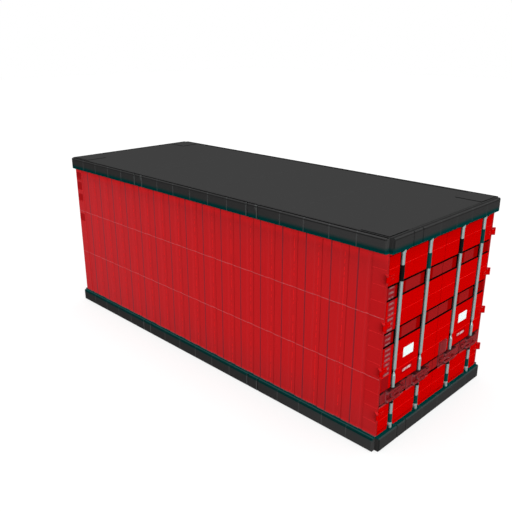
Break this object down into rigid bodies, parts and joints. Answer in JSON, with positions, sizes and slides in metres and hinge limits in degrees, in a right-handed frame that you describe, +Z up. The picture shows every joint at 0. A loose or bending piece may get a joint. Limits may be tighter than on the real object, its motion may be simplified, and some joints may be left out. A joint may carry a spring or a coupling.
{
  "type": "shipping container",
  "caption": "Steel shipping container with corrugated red walls, a dark grey rail frame, hinged end doors, and lock rods that turn with their handles.",
  "frame": {"origin": "on the ground at the middle of the base", "axes": "+X out of the door end along the length, -Y the left side seen from the doors, +Z up"},
  "size_m": [6.058, 2.39, 2.438],
  "materials": {
    "frame_grey": "satin dark grey paint, teal towards the walls",
    "body_red": "satin red paint on steel sheet",
    "door_red": "satin bright red paint",
    "handle_red": "satin dark red paint",
    "rod_steel": "galvanised steel",
    "bracket_teal": "satin dark teal paint",
    "seal_rubber": "matte black rubber",
    "floor_wood": "worn plywood"
  },
  "bodies": {
    "root": {"bottom_rail_left": "frame_grey", "bottom_rail_right": "frame_grey", "front_sill": "frame_grey", "door_sill": "frame_grey", "top_rail_left": "frame_grey", "top_rail_right": "frame_grey", "front_header": "frame_grey", "door_header": "frame_grey", "bottom_castings": "frame_grey", "top_castings": "frame_grey", "roof_panel": "frame_grey", "roof_corner_plates": "frame_grey", "cross_members": "frame_grey", "front_post_left": "body_red", "front_post_right": "body_red", "door_post_left": "body_red", "door_post_right": "body_red", "side_wall_left": "body_red", "side_wall_right": "body_red", "front_wall": "body_red", "hinge_lugs_left": "body_red", "hinge_lugs_right": "body_red", "plywood_floor": "floor_wood", "door_strips": "door_red", "cam_keepers": "bracket_teal"},
    "left_door": {"left_door_leaf": "door_red", "left_door_seal": "seal_rubber", "left_door_hinges": "door_red", "left_rod_brackets": "bracket_teal", "left_handle_housings": "handle_red"},
    "right_door": {"right_door_leaf": "door_red", "right_door_seal": "seal_rubber", "right_door_hinges": "door_red", "right_rod_brackets": "bracket_teal", "right_handle_housings": "handle_red", "right_lock_box": "handle_red"},
    "left_outer_lock": {"left_outer_rod": "rod_steel", "left_outer_handle": "handle_red"},
    "left_inner_lock": {"left_inner_rod": "rod_steel", "left_inner_handle": "handle_red"},
    "right_inner_lock": {"right_inner_rod": "rod_steel", "right_inner_handle": "handle_red"},
    "right_outer_lock": {"right_outer_rod": "rod_steel", "right_outer_handle": "handle_red"}
  },
  "joints": [
    {"name": "left_door_hinge", "type": "hinge", "parent": "root", "child": "left_door", "pos_m": [2.991, -1.159, 0], "axis": [0, 0, -1], "range_deg": [0, 270]},
    {"name": "right_door_hinge", "type": "hinge", "parent": "root", "child": "right_door", "pos_m": [2.991, 1.159, 0], "axis": [0, 0, 1], "range_deg": [0, 270]},
    {"name": "left_outer_lock_turn", "type": "hinge", "parent": "left_door", "child": "left_outer_lock", "pos_m": [2.975, -0.875, 0], "axis": [0, 0, 1], "range_deg": [-100, 0]},
    {"name": "left_inner_lock_turn", "type": "hinge", "parent": "left_door", "child": "left_inner_lock", "pos_m": [2.975, -0.35, 0], "axis": [0, 0, 1], "range_deg": [-100, 0]},
    {"name": "right_inner_lock_turn", "type": "hinge", "parent": "right_door", "child": "right_inner_lock", "pos_m": [2.975, 0.35, 0], "axis": [0, 0, -1], "range_deg": [-100, 0]},
    {"name": "right_outer_lock_turn", "type": "hinge", "parent": "right_door", "child": "right_outer_lock", "pos_m": [2.975, 0.875, 0], "axis": [0, 0, -1], "range_deg": [-100, 0]}
  ]
}
